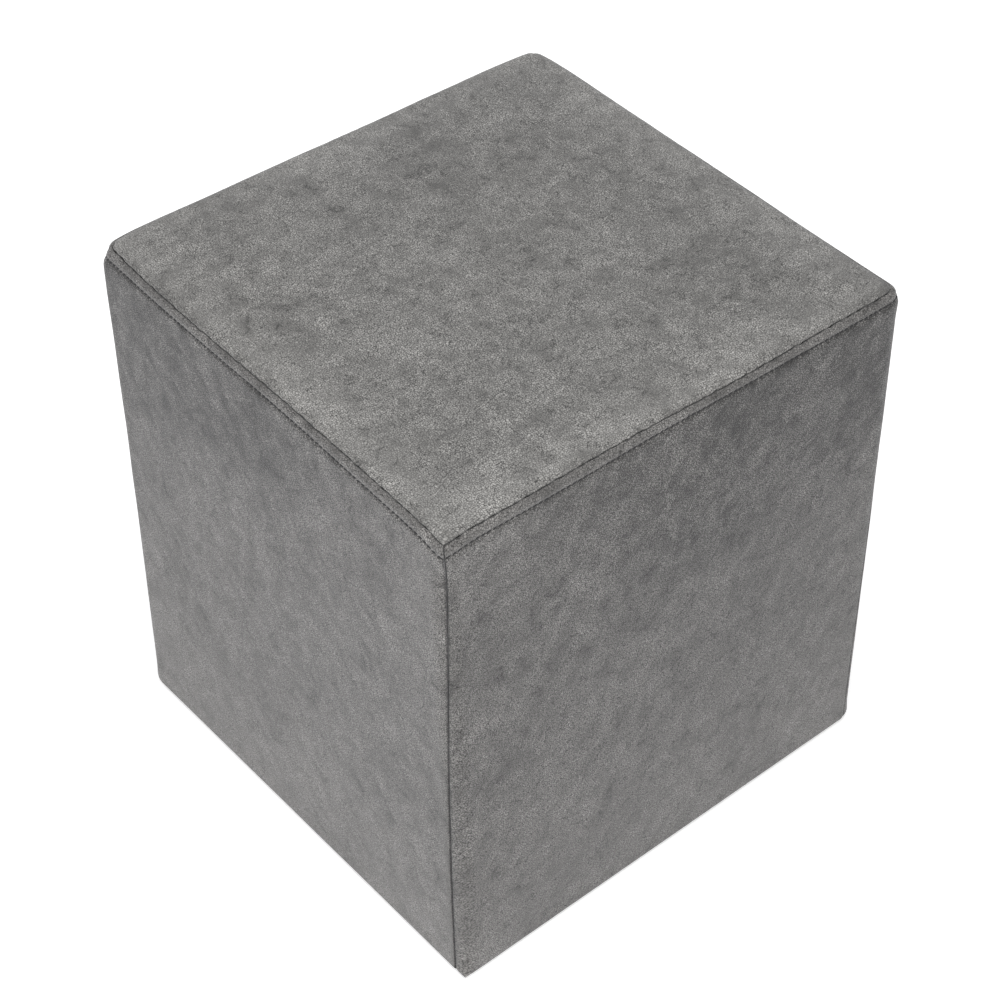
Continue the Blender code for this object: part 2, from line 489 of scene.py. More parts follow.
    def drawn_out(self, place: np.ndarray, factor: np.ndarray) -> np.ndarray:
        """Moves the part of a coordinate that lies past the straight of the sides."""
        past = np.clip(np.abs(place) - self.core, 0, None)
        return place + np.sign(place) * past * (factor - 1)


def noise_field(places: np.ndarray, seed: float) -> np.ndarray:
    """Smooth noise at many places.

    Args:
        places: Two coordinates a row, in wavelengths.
        seed: Third coordinate, the same for all.

    Returns:
        Values from about -1 to 1, in the shape of the rows.
    """
    flat = places.reshape(-1, 2)
    values = (
        noise.fractal(Vector((a, b, seed)), NOISE_FADE, NOISE_STEP, NOISE_LAYERS)
        for a, b in flat.tolist()
    )
    return np.fromiter(values, float, len(flat)).reshape(places.shape[:-1])


# ---------------------------------------------------------------------------------------------
# Mesh helpers
# ---------------------------------------------------------------------------------------------


def graded_lines(
    length: float, finest: float, coarsest: float, growth: float = SEAM_GROWTH
) -> np.ndarray:
    """Lines that start fine and grow coarser.

    Args:
        length: Distance that the lines cover, from 0.
        finest: First step.
        coarsest: Largest step.
        growth: Factor between one step and the next.

    Returns:
        The lines' distances, with 0 and the length among them.
    """
    steps = [finest]
    while sum(steps) < length:
        steps.append(min(steps[-1] * growth, coarsest))
    lines = np.concatenate([[0.0], np.cumsum(steps)])
    return lines * (length / lines[-1])


def lines_across(half: float, finest: float, coarsest: float) -> np.ndarray:
    """Lines right across a panel, fine at both its edges.

    Args:
        half: Half the panel's width.
        finest: First step from an edge.
        coarsest: Largest step.

    Returns:
        The lines' places, from minus the half to the half.
    """
    inward = half - graded_lines(half, finest, coarsest)
    return np.concatenate([-inward, inward[-2::-1]])


def grid(columns: int, rows: int) -> bmesh.types.BMesh:
    """A flat grid whose vertices lie at whole numbers, from 0 to the columns and the rows.

    Args:
        columns: How many cells it has in x.
        rows: How many cells it has in y.

    Returns:
        The grid's mesh.
    """
    bm = bmesh.new()
    bmesh.ops.create_grid(bm, x_segments=columns, y_segments=rows, size=0.5)
    bmesh.ops.translate(bm, verts=bm.verts, vec=(0.5, 0.5, 0))
    bmesh.ops.scale(bm, verts=bm.verts, vec=(columns, rows, 1))
    return bm


def thicken(bm: bmesh.types.BMesh) -> None:
    """Makes a flat grid a closed slab, with its second face at the height of one.

    Args:
        bm: The grid's mesh.
    """
    made = bmesh.ops.extrude_face_region(bm, geom=bm.faces[:], use_keep_orig=True)
    verts = [item for item in made["geom"] if isinstance(item, bmesh.types.BMVert)]
    bmesh.ops.translate(bm, verts=verts, vec=(0, 0, 1))


def finished(name: str, bm: bmesh.types.BMesh) -> bpy.types.Object:
    """Turns a bmesh into an object of the scene.

    Args:
        name: The object's name.
        bm: The mesh, which is freed.

    Returns:
        The object, at the origin.
    """
    mesh = bpy.data.meshes.new(name)
    bm.to_mesh(mesh)
    bm.free()
    piece = bpy.data.objects.new(name, mesh)
    bpy.context.scene.collection.objects.link(piece)
    return piece


def vertices_of(piece: bpy.types.Object) -> np.ndarray:
    """The places of a piece's vertices, one a row.

    Args:
        piece: The piece.

    Returns:
        Its vertices.
    """
    points = np.empty(len(piece.data.vertices) * 3)
    piece.data.vertices.foreach_get("co", points)
    return points.reshape(-1, 3)


def shape(piece: bpy.types.Object, points: np.ndarray) -> None:
    """Moves a piece's vertices, turns its faces outwards and smooths their shading.

    Args:
        piece: The piece.
        points: Where each vertex goes.
    """
    piece.data.vertices.foreach_set("co", points.ravel())
    bm = bmesh.new()
    bm.from_mesh(piece.data)
    bmesh.ops.recalc_face_normals(bm, faces=bm.faces)
    if bm.calc_volume(signed=True) < 0:
        bmesh.ops.reverse_faces(bm, faces=bm.faces)
    bm.to_mesh(piece.data)
    bm.free()
    piece.data.shade_smooth()
    piece.data.update()


def lay_pattern(piece: bpy.types.Object, cloth: np.ndarray) -> None:
    """Gives a piece a UV map that lies flat on its cloth, in metres.

    Args:
        piece: The piece.
        cloth: Two flat coordinates for each vertex.
    """
    corners = np.empty(len(piece.data.loops), dtype=np.int32)
    piece.data.loops.foreach_get("vertex_index", corners)
    layer = piece.data.uv_layers.new(name="cloth")
    layer.data.foreach_set("uv", cloth[corners].astype(np.float32).ravel())


def mark(piece: bpy.types.Object, name: str, values: np.ndarray) -> None:
    """Keeps a number for each vertex, which the cloth's finish reads."""
    layer = piece.data.attributes.new(name, "FLOAT", "POINT")
    layer.data.foreach_set("value", values.astype(np.float32))


# ---------------------------------------------------------------------------------------------
# The filling's pressure
# ---------------------------------------------------------------------------------------------


@dataclass
class Filling:
    """The pressure of the filling on the cover, simulated on a coarse copy of the whole cube.

    The seams hold still and the cloth between them swells. Each face's movement is scaled so
    that its furthest point moves by that face's cap.
    """

    body: Body
    cells: int = 30
    pressure: float = 4.0
    frames: int = 20
    faces: dict[str, np.ndarray] = field(default_factory=dict)

    def settle(self) -> None:
        caps = {"top": self.body.crown, **{side.node: self.body.side_swell for side in Side}}
        cube = self.coarse_cube()
        pattern = vertices_of(cube)
        shape(cube, self.from_cube(pattern))
        start = vertices_of(cube)
        moved = self.simulated(cube, pattern) - start
        for name, cap in caps.items():
            self.faces[name] = self.swell_of(name, pattern, start, moved, cap)
        bpy.data.objects.remove(cube, do_unlink=True)

    def coarse_cube(self) -> bpy.types.Object:
        """A cube from -1 to 1 with an even grid on each face.

        Returns:
            The cube.
        """
        bm = bmesh.new()
        bmesh.ops.create_cube(bm, size=2)
        bmesh.ops.subdivide_edges(bm, edges=bm.edges, cuts=self.cells - 1, use_grid_fill=True)
        return finished("filling_pressure", bm)

    def from_cube(self, pattern: np.ndarray) -> np.ndarray:
        """Carries the cube's vertices to the cover.

        Args:
            pattern: Points of the cube, from -1 to 1.

        Returns:
            The settled points.
        """
        body = self.body
        x, y, z = pattern.T
        side, share, ring = around(x, y)
        on_top, on_base = z > ON_FACE, z < -ON_FACE
        drop = (1 - z) / 2 * body.side_length
        drop = np.where(on_top, np.minimum(0, body.flat_half - ring * body.half_top), drop)
        points = body.place(side, share, drop, even=True)
        flat = np.where(on_top, np.minimum(1, ring * body.half_top / body.flat_half), 1.0)
        flat = np.where(on_base, ring, flat)
        points[:, :2] *= flat[:, None]
        return body.settle(points)

    def simulated(self, cube: bpy.types.Object, pattern: np.ndarray) -> np.ndarray:
        """Swells the cube with its seams pinned.

        Args:
            cube: The coarse cube, in place.
            pattern: The cube's vertices before they were placed.

        Returns:
            Where each vertex lies at the last frame.
        """
        edges = (np.abs(pattern) > ON_FACE).sum(axis=1) > 1
        held = cube.vertex_groups.new(name="seams")
        held.add(np.flatnonzero(edges | (pattern[:, 2] < -ON_FACE)).tolist(), 1.0, "REPLACE")
        cloth = cube.modifiers.new("pressure", "CLOTH")
        cloth.settings.use_pressure = True
        cloth.settings.uniform_pressure_force = self.pressure
        cloth.settings.effector_weights.gravity = 0
        cloth.settings.vertex_group_mass = held.name
        cloth.collision_settings.use_collision = False
        cloth.point_cache.frame_start, cloth.point_cache.frame_end = 1, self.frames
        scene = bpy.context.scene
        for frame_number in range(1, self.frames + 1):
            scene.frame_set(frame_number)
        points = vertices_of(cube.evaluated_get(bpy.context.evaluated_depsgraph_get()))
        cube.modifiers.clear()
        scene.frame_set(1)
        return points

    def swell_of(
        self, name: str, pattern: np.ndarray, start: np.ndarray, moved: np.ndarray, cap: float
    ) -> np.ndarray:
        """Reads one face's swell off the simulation.

        Args:
            name: "top" or a side panel's node.
            pattern: The cube's vertices before they were placed.
            start: Where they were placed.
            moved: How far each moved.
            cap: How far the furthest may move.

        Returns:
            A grid of outward distances, by share along the face and by share down or across it.
        """
        x, y, z = pattern.T
        if name == "top":
            chosen, first, second = z > ON_FACE, x, y
            outward = np.array([0.0, 0.0, 1.0])
        else:
            side = next(side for side in Side if side.node == name)
            outward = side.outward
            chosen, first, second = pattern @ outward > ON_FACE, pattern @ side.along, -z
        swell = np.zeros((self.cells + 1, self.cells + 1))
        column = np.round((first[chosen] + 1) / 2 * self.cells).astype(int)
        row = np.round((second[chosen] + 1) / 2 * self.cells).astype(int)
        swell[column, row] = (moved @ outward)[chosen]
        furthest = np.abs(swell).max()
        log.info("pressure moved %s by %.1f mm, kept %.1f mm", name, furthest / MM, cap / MM)
        return swell * (cap / furthest)

    def swell(self, name: str, first: np.ndarray, second: np.ndarray) -> np.ndarray:
        """Swell at any place of a face, smoothly between the simulated points.

        Args:
            name: "top" or a side panel's node.
            first: Share along the face, from -1 to 1.
            second: Share down or across it, from -1 to 1.

        Returns:
            The outward distance at each place.
        """
        values = np.pad(self.faces[name], 1, mode="reflect", reflect_type="odd")
        column, columns = cubic_weights(first, self.cells)
        row, rows = cubic_weights(second, self.cells)
        total = np.zeros_like(first)
        for i in range(4):
            for j in range(4):
                total += columns[i] * rows[j] * values[column + i, row + j]
        return total

    def filled(
        self, side: Side, share: np.ndarray, drop: np.ndarray, points: np.ndarray
    ) -> np.ndarray:
        """Swells places of a side panel.

        Args:
            side: The side.
            share: Share along it, from -1 to 1.
            drop: Cloth distance under the top seam.
            points: The places before they swell, one a row.

        Returns:
            The places with the filling behind them.
        """
        swell = self.swell(side.node, share, drop / self.body.side_length * 2 - 1)
        return points + swell[:, None] * side.outward


def cubic_weights(place: np.ndarray, cells: int) -> tuple[np.ndarray, list[np.ndarray]]:
    """Weights of the four grid lines round a place, for a smooth curve through them.

    Args:
        place: Places from -1 to 1.
        cells: How many cells the grid has.

    Returns:
        The first of the four lines in a grid padded by one, and the four weights.
    """
    scaled = np.clip((place + 1) / 2, 0, 1) * cells
    cell = np.clip(np.floor(scaled), 0, cells - 1).astype(int)
    t = scaled - cell
    return cell, [
        (-t**3 + 2 * t**2 - t) / 2,
        (3 * t**3 - 5 * t**2 + 2) / 2,
        (-3 * t**3 + 4 * t**2 + t) / 2,
        (t**3 - t**2) / 2,
    ]


def around(x: np.ndarray, y: np.ndarray) -> tuple[np.ndarray, np.ndarray, np.ndarray]:
    """Reads a place in a square as a side and a share along it.

    Args:
        x: Place from -1 to 1.
        y: Place from -1 to 1.

    Returns:
        The side's quarter turns, the share along it from -1 to 1, and how far out the place is.
    """
    ring = np.maximum(np.abs(x), np.abs(y))
    safe = np.maximum(ring, TINY)
    by_y = np.abs(y) >= np.abs(x)
    side = np.where(by_y, np.where(y <= 0, 0, 2), np.where(x > 0, 1, 3))
    share = np.select([side == 0, side == 1, side == 2], [x, y, -x], -y) / safe
    return side, share, ring


# ---------------------------------------------------------------------------------------------
# Finishes
# ---------------------------------------------------------------------------------------------


class Wiring:
    """Adds nodes to one node tree and joins them."""

    def __init__(self, tree: bpy.types.NodeTree) -> None:
        """Starts on the tree of a material or a group."""
        self.tree = tree

    def add(
        self, kind: str, sockets: dict[str, object] | None = None, **settings: object
    ) -> bpy.types.Node:
        """Adds a node.

        Args:
            kind: The node's type.
            sockets: A value or an output for each named input.
            **settings: The node's own properties.

        Returns:
            The node.
        """
        node = self.tree.nodes.new(kind)
        for name, value in settings.items():
            setattr(node, name, value)
        for name, value in (sockets or {}).items():
            self.feed(node.inputs[name], value)
        return node

    def feed(self, socket: bpy.types.NodeSocket, value: object) -> None:
        """Links an output to an input, or sets the input's own value.

        Args:
            socket: The input.
            value: An output, or the value that the input takes.
        """
        if isinstance(value, bpy.types.NodeSocket):
            self.tree.links.new(value, socket)
        else:
            socket.default_value = value

    def sum(self, operation: str, *values: object) -> bpy.types.NodeSocket:
        """Adds a Math node.

        Args:
            operation: What it does.
            *values: A value or an output for each input, in order.

        Returns:
            Its output.
        """
        node = self.tree.nodes.new("ShaderNodeMath")
        node.operation = operation
        for socket, value in zip(node.inputs, values):
            self.feed(socket, value)
        return node.outputs[0]

    def vector(self, operation: str, *values: object) -> bpy.types.NodeSocket:
        """Adds a Vector Math node.

        Args:
            operation: What it does.
            *values: A vector or an output for each input, in order.

        Returns:
            Its vector output.
        """
        node = self.tree.nodes.new("ShaderNodeVectorMath")
        node.operation = operation
        for socket, value in zip(node.inputs, values):
            self.feed(socket, value)
        return node.outputs["Vector"]

    def fade(self, value: object, start: float, end: float) -> bpy.types.NodeSocket:
        """A smooth mask that is 1 at or before start and 0 at or after end.

        Args:
            value: What it is measured on.
            start: Where it starts to fade.
            end: Where it ends.

        Returns:
            The mask.
        """
        node = self.add(
            "ShaderNodeMapRange",
            {"Value": value, "From Min": start, "From Max": end, "To Min": 1.0, "To Max": 0.0},
            interpolation_type="SMOOTHSTEP",
        )
        return node.outputs["Result"]

    def grown(self, value: object, start: float, end: float) -> bpy.types.NodeSocket:
        """A smooth mask that is 0 at or before start and 1 at or after end."""
        return self.sum("SUBTRACT", 1.0, self.fade(value, start, end))

    def scaled(self, value: object, factor: object) -> bpy.types.NodeSocket:
        """Scales a vector or a colour.

        Args:
            value: The vector or the colour.
            factor: What it is multiplied by.

        Returns:
            The result.
        """
        node = self.add("ShaderNodeVectorMath", {"Scale": factor}, operation="SCALE")
        self.feed(node.inputs[0], value)
        return node.outputs["Vector"]

    def marked(self, name: str) -> bpy.types.NodeSocket:
        """The value that each place on the mesh carries under a name."""
        return self.add("ShaderNodeAttribute", attribute_name=name).outputs["Fac"]

    def noise(
        self, place: object, scale: float, detail: float, roughness: object = 0.6
    ) -> bpy.types.NodeSocket:
        """Adds flat noise, from 0 to 1.

        Args:
            place: Where it is read.
            scale: How fine it is.
            detail: How many finer layers it has.
            roughness: How strong each layer is, as a share of the one before.

        Returns:
            Its value.
        """
        sockets = {"Vector": place, "Scale": scale, "Detail": detail, "Roughness": roughness}
        node = self.add("ShaderNodeTexNoise", sockets, noise_dimensions="2D")
        return node.outputs["Fac"]

    def warped(self, place: object, scale: float, push: float) -> bpy.types.NodeSocket:
        """Pushes a flat place about by slow noise.

        Args:
            place: The place.
            scale: How fine the noise is.
            push: How far it pushes.

        Returns:
            The pushed place.
        """
        sockets = {"Vector": place, "Scale": scale, "Detail": 2.0}
        wander = self.add("ShaderNodeTexNoise", sockets, noise_dimensions="2D")
        centred = self.vector("SUBTRACT", wander.outputs["Color"], (0.5, 0.5, 0.5))
        return self.vector("MULTIPLY_ADD", centred, (push, push, 0.0), place)

    def group(self, tree: bpy.types.NodeTree, sockets: dict[str, object]) -> bpy.types.Node:
        """Places a node group with its own values.

        Args:
            tree: The group.
            sockets: A value or an output for each named input.

        Returns:
            Its node.
        """
        node = self.tree.nodes.new("ShaderNodeGroup")
        node.node_tree = tree
        for name, value in sockets.items():
            self.feed(node.inputs[name], value)
        return node


def new_group(
    name: str, inputs: dict[str, float | None], outputs: tuple[str, ...]
) -> tuple[Wiring, bpy.types.Node, bpy.types.Node]:
    """Starts a shader node group.

    Args:
        name: The group's name.
        inputs: Each input's name and its value, or None for a vector.
        outputs: The names of the values that it puts out.

    Returns:
        Its wiring, its input node and its output node.
    """
    tree = bpy.data.node_groups.new(name, "ShaderNodeTree")
    for label, value in inputs.items():
        kind = "NodeSocketVector" if value is None else "NodeSocketFloat"
        socket = tree.interface.new_socket(name=label, in_out="INPUT", socket_type=kind)
        if value is not None:
            socket.default_value = value
    for label in outputs:
        tree.interface.new_socket(name=label, in_out="OUTPUT", socket_type="NodeSocketFloat")
    wiring = Wiring(tree)
    return wiring, wiring.add("NodeGroupInput"), wiring.add("NodeGroupOutput")


def mottling_group() -> bpy.types.NodeTree:
    """Cloudy mottling about 0, and short dark crevices from 0 to 1, as on brushed suede.

    Returns:
        The node group.
    """
    wiring, given, made = new_group(
        "cloudy mottling",
        {"Vector": None, "Blotch Size": 0.014, "Stretch": 1.0, "Roughness": 0.7},
        ("Clouds", "Crevices"),
    )
    vein_shift, patch_shift = (7.3, 2.9, 0.0), (3.1, 8.7, 0.0)
    crevice_width, patch_from, patch_to = 0.045, 0.44, 0.54
    spread = wiring.sum("DIVIDE", 1.0, given.outputs["Stretch"])
    squeeze = wiring.add("ShaderNodeCombineXYZ", {"X": 1.0, "Y": spread, "Z": 1.0}).outputs[0]
    drawn = wiring.vector("MULTIPLY", given.outputs["Vector"], squeeze)
    place = wiring.scaled(drawn, wiring.sum("DIVIDE", 1.0, given.outputs["Blotch Size"]))
    warped = wiring.warped(place, scale=0.8, push=1.1)
    clouds = wiring.noise(warped, scale=1.0, detail=6.0, roughness=given.outputs["Roughness"])
    veins = wiring.noise(wiring.vector("ADD", warped, vein_shift), scale=0.8, detail=3.0)
    patches = wiring.noise(wiring.vector("ADD", place, patch_shift), scale=0.7, detail=2.0)
    valley = wiring.sum("ABSOLUTE", wiring.sum("SUBTRACT", veins, 0.5))
    cracks = wiring.fade(valley, 0.0, crevice_width)
    crevices = wiring.sum("MULTIPLY", cracks, wiring.fade(patches, patch_from, patch_to))
    wiring.feed(made.inputs["Clouds"], wiring.sum("SUBTRACT", clouds, 0.5))
    wiring.feed(made.inputs["Crevices"], crevices)
    return wiring.tree


def grain_group() -> bpy.types.NodeTree:
    """Pebbled grain about 0: rounded pebbles with creases between them that wander like worms.

    Returns:
        The node group.
    """
    wiring, given, made = new_group(
        "pebbled grain", {"Vector": None, "Pebble Size": 0.0018}, ("Height",)
    )
    crease_width, pebble_top, fine_height = 0.36, 0.42, 2.0
    fineness = wiring.sum("DIVIDE", 1.0, given.outputs["Pebble Size"])
    place = wiring.scaled(given.outputs["Vector"], fineness)
    warped = wiring.warped(place, scale=0.5, push=1.4)
    pebbles = wiring.add(
        "ShaderNodeTexVoronoi",
        {"Vector": warped, "Scale": 1.0, "Randomness": 1.0},
        voronoi_dimensions="2D",
        feature="DISTANCE_TO_EDGE",
    )
    crease = wiring.fade(pebbles.outputs["Distance"], 0.0, crease_width)
    fine = wiring.sum("SUBTRACT", wiring.noise(warped, scale=0.9, detail=2.0, roughness=0.7), 0.5)
    round_pebbles = wiring.sum("SUBTRACT", pebble_top, crease)
    height = wiring.sum("MULTIPLY_ADD", fine, fine_height, round_pebbles)
    wiring.feed(made.inputs["Height"], height)
    return wiring.tree


@dataclass
class Effects:
    """The node groups that the finishes share, each built once."""

    mottling: bpy.types.NodeTree = field(default_factory=mottling_group)
    grain: bpy.types.NodeTree = field(default_factory=grain_group)


def new_material(name: str) -> tuple[bpy.types.Material, Wiring, bpy.types.Node]:
    """Starts a material.

    Args:
        name: The material's name.

    Returns:
        The material, the wiring of its nodes and its shader.
    """
    material = bpy.data.materials.new(name)
    material.use_nodes = True
    return material, Wiring(material.node_tree), material.node_tree.nodes["Principled BSDF"]


@dataclass(frozen=True)
class Finish:
    """What all finishes share: a mean colour whose tone varies, and a matt face with a relief."""

    name: str
    colour: Colour
    roughness: float = 0.92
    gloss: float = 0.5
    sheen: float = 0.0
    sheen_roughness: float = 0.5
    sheen_tint: Colour = (1.0, 1.0, 1.0)
    relief_depth: float = 0.0002
    relief_strength: float = 0.6

    def surface(self, wiring: Wiring, effects: Effects) -> Surface:
        """The finish's own tone and relief, which each kind of cloth and thread wires itself."""
        raise NotImplementedError(self.name)

    def material(self, effects: Effects) -> bpy.types.Material:
        """Builds the material.

        Args:
            effects: The shared node groups.

        Returns:
            The material.
        """
        material, wiring, shader = new_material(self.name)
        tone, height = self.surface(wiring, effects)
        bump = wiring.add("ShaderNodeBump", {
            "Strength": self.relief_strength, "Distance": self.relief_depth, "Height": height,
        })
        for name, value in {
            "Base Color": wiring.scaled(self.colour, tone),
            "Roughness": self.roughness,
            "Specular IOR Level": self.gloss,
            "Sheen Weight": self.sheen,
            "Sheen Roughness": self.sheen_roughness,
            "Sheen Tint": (*self.sheen_tint, 1.0),
            "Normal": bump.outputs["Normal"],
        }.items():
            wiring.feed(shader.inputs[name], value)
        return material


@dataclass(frozen=True)
class SidePaintedLight:
    """Painted light and shade on a side panel's tone: the band above the stitched row painted
    lighter, a dark line painted in the row for its channel's shadow, painted shade under it that
    grows away from the front corner, painted shade along the upright corner seams, and painted
    light at the foot and the outer edges. Each amount is a share of the cloth's mean colour.
    """

    row_width: float = 0.0014
    # painted shade: a dark line along the stitched row for the shadow in its channel
    row_shade: float = 0.08
    # painted light: the band above the row painted paler, as it looks where it tilts up to the light
    band_painted_light: float = 0.07
    # painted shade: the upper side darker under the row, more so away from the front corner, broken
    # up by the mottling
    upper_painted_shade: float = 0.37
    upper_shade_reach: float = 0.200
    upper_shade_growth: float = 0.220
    # painted light: the cloth painted paler towards the foot, where the floor's light falls on it
    foot_start: float = 0.220
    foot_end: float = 0.400
    foot_painted_light: float = 0.20
    # painted light: the lower outer edges of the side painted paler
    edge_painted_light: float = 0.14
    edge_reach: float = 0.060
    edge_start: float = 0.100
    # painted shade: a dark line painted along the upright corner seams, where their shadow falls
    upright_width: float = 0.0016
    upright_shade: float = 0.65


@dataclass(frozen=True)
class Suede(Finish):
    """Brushed grey suede cloth. Each contrast is a share of the cloth's mean colour."""

    blotch_size: float = 0.013
    stretch: float = 1.0
    blotch_contrast: float = 1.36
    blotch_roughness: float = 0.62
    drift_size: float = 0.065
    drift_roughness: float = 0.5
    drift_contrast: float = 0.75
    crevice_contrast: float = 0.30
    grain_contrast: float = 0.93
    grain_drift: float = 1.3
    grain_cloud: float = 2.5
    pebble_size: float = 0.00145
    # painted shade: the top panel darkened beside the top seam, broken up by the mottling
    valley_shade: float = 0.16
    valley_reach: float = 0.0080
    # painted shade: a thin dark line painted in the top seam
    seam_width: float = 0.0010
    seam_shade: float = 0.20
    # painted light: the top panel painted paler near its seams, where its rim rolls over
    rim_painted_light: float = 0.20
    rim_reach: float = 0.048
    shade_breakup: float = 1.8
    darkest: float = 0.25
    gloss: float = 0.25
    sheen: float = 0.40
    sheen_roughness: float = 0.45
    sheen_tint: Colour = (0.80, 0.80, 0.82)
    relief_depth: float = 0.0003
    # painted light and shade for a side panel; the top panel has none
    painted_light: SidePaintedLight | None = None

    def surface(self, wiring: Wiring, effects: Effects) -> Surface:
        """Wires the mottling, the painted light and shade, and the grain.

        Args:
            wiring: The material's nodes.
            effects: The shared node groups.

        Returns:
            The tone, as a share of the mean colour, and the relief's height.
        """
        cloth = wiring.add("ShaderNodeUVMap", uv_map="cloth").outputs["UV"]
        mottle = wiring.group(effects.mottling, {
            "Vector": cloth,
            "Blotch Size": self.blotch_size,
            "Stretch": self.stretch,
            "Roughness": self.blotch_roughness,
        })
        drift = wiring.group(effects.mottling, {
            "Vector": cloth, "Blotch Size": self.drift_size, "Roughness": self.drift_roughness,
        })
        grain = wiring.group(effects.grain, {"Vector": cloth, "Pebble Size": self.pebble_size})
        clouds, drifts = mottle.outputs["Clouds"], drift.outputs["Clouds"]

        tone = wiring.sum("MULTIPLY_ADD", clouds, self.blotch_contrast, 1.0)
        tone = wiring.sum("MULTIPLY_ADD", drifts, self.drift_contrast, tone)
        tone = wiring.sum("MULTIPLY_ADD", mottle.outputs["Crevices"], -self.crevice_contrast, tone)
        tone = self.with_painted_shading(wiring, tone, clouds)
        patchy = wiring.sum("MULTIPLY_ADD", drifts, self.grain_drift, 1.0)
        patchy = wiring.sum("MULTIPLY_ADD", clouds, self.grain_cloud, patchy)
        pebbles = wiring.sum("MULTIPLY", grain.outputs["Height"], patchy)
        tone = wiring.sum("MULTIPLY_ADD", pebbles, self.grain_contrast, tone)
        return wiring.sum("MAXIMUM", tone, self.darkest), grain.outputs["Height"]

    def with_painted_shading(
        self, wiring: Wiring, tone: bpy.types.NodeSocket, clouds: bpy.types.NodeSocket
    ) -> bpy.types.NodeSocket:
        """Paints shade in the top seam, and the panel's other painted light and shade.

        Args:
            wiring: The material's nodes.
            tone: The tone so far.
            clouds: The mottling, which breaks the shade up.

        Returns:
            The tone with the painted light and shade on it.
        """
        from_seam = wiring.marked("from_seam")
        # painted shade: a thin dark line in the top seam
        seam = wiring.fade(from_seam, 0.0, self.seam_width)
        tone = wiring.sum("MULTIPLY_ADD", seam, -self.seam_shade, tone)
        broken = wiring.sum("MULTIPLY_ADD", clouds, -self.shade_breakup, 1.0)
        if not self.painted_light:
            # painted shade beside the top seam, on the top panel
            valley = wiring.sum("MULTIPLY", wiring.fade(from_seam, 0.0, self.valley_reach), broken)
            tone = wiring.sum("MULTIPLY_ADD", valley, -self.valley_shade, tone)
            # painted light near the top panel's seams, where its rim rolls over
            rim = wiring.fade(from_seam, 0.0, self.rim_reach)
            return wiring.sum("MULTIPLY_ADD", rim, self.rim_painted_light, tone)
        # the side's painted light and shade: band, row line, upper shade, corner seam line, foot and
        # edges
        painted_light = self.painted_light
        from_row, from_corner = wiring.marked("from_row"), wiring.marked("from_corner")
        above = wiring.fade(from_row, -painted_light.row_width, 0.0)
        below = wiring.sum("SUBTRACT", 1.0, above)
        row = wiring.fade(wiring.sum("ABSOLUTE", from_row), 0.0, painted_light.row_width)
        far = wiring.grown(wiring.marked("from_front"), 0.0, painted_light.upper_shade_growth)
        foot = wiring.grown(from_seam, painted_light.foot_start, painted_light.foot_end)
        upper_painted_shade = wiring.sum("MULTIPLY", wiring.fade(from_seam, 0.0, painted_light.upper_shade_reach), below)
        upper_painted_shade = wiring.sum("MULTIPLY", wiring.sum("MULTIPLY", upper_painted_shade, broken), far)
        edge = wiring.sum("MULTIPLY", wiring.fade(from_corner, 0.0, painted_light.edge_reach), far)
        lower = wiring.grown(from_seam, painted_light.edge_start, painted_light.foot_start)
        upright = wiring.fade(from_corner, 0.0, painted_light.upright_width)
        upright = wiring.sum("MULTIPLY", upright, below)
        # painted light where the amount is above 0, painted shade where it is below
        for mask, amount in (
            (above, painted_light.band_painted_light),
            (row, -painted_light.row_shade),
            (upper_painted_shade, -painted_light.upper_painted_shade),
            (upright, -painted_light.upright_shade),
            (foot, painted_light.foot_painted_light),
            (wiring.sum("MULTIPLY", edge, lower), painted_light.edge_painted_light),
        ):
            tone = wiring.sum("MULTIPLY_ADD", mask, amount, tone)
        return tone


@dataclass(frozen=True)
class PlainCloth(Finish):
    """A plain matt cloth with a fine felted surface, for the underside."""

    felt_size: float = 0.004
    felt_contrast: float = 0.8
    grain_size: float = 0.0009
    roughness: float = 0.95
    gloss: float = 0.2
    relief_strength: float = 0.5

    def surface(self, wiring: Wiring, effects: Effects) -> Surface:
        """Wires the felt and its grain.

        Args:
            wiring: The material's nodes.
            effects: The shared node groups.

        Returns:
            The tone, as a share of the mean colour, and the relief's height.
        """
        cloth = wiring.add("ShaderNodeUVMap", uv_map="cloth").outputs["UV"]
        felt = wiring.group(effects.mottling, {"Vector": cloth, "Blotch Size": self.felt_size})
        grain = wiring.group(effects.grain, {"Vector": cloth, "Pebble Size": self.grain_size})
        tone = wiring.sum("MULTIPLY_ADD", felt.outputs["Clouds"], self.felt_contrast, 1.0)
        return tone, grain.outputs["Height"]


@dataclass(frozen=True)
class Thread(Finish):
    """Twisted sewing thread."""

    fuzz_size: float = 0.0015
    fuzz_contrast: float = 0.9
    twist: float = 9.0
    twist_wander: float = 0.4
    roughness: float = 0.7
    relief_depth: float = 0.0001
    relief_strength: float = 0.7

    def surface(self, wiring: Wiring, effects: Effects) -> Surface:
        """Wires the thread's fuzz and its twisted plies.

        Args:
            wiring: The material's nodes.
            effects: The shared node groups.

        Returns:
            The tone, as a share of the mean colour, and the relief's height.
        """
        spot = wiring.add("ShaderNodeTexCoord").outputs["Object"]
        fuzz = wiring.group(effects.mottling, {"Vector": spot, "Blotch Size": self.fuzz_size})
        tone = wiring.sum("MULTIPLY_ADD", fuzz.outputs["Clouds"], self.fuzz_contrast, 1.0)
        along = wiring.add("ShaderNodeUVMap", uv_map="UVMap").outputs["UV"]
        plies = wiring.add(
            "ShaderNodeTexWave",
            {"Vector": along, "Scale": self.twist, "Distortion": self.twist_wander},
            bands_direction="DIAGONAL",
        )
        return tone, plies.outputs["Fac"]


# ---------------------------------------------------------------------------------------------
# Panels
# ---------------------------------------------------------------------------------------------


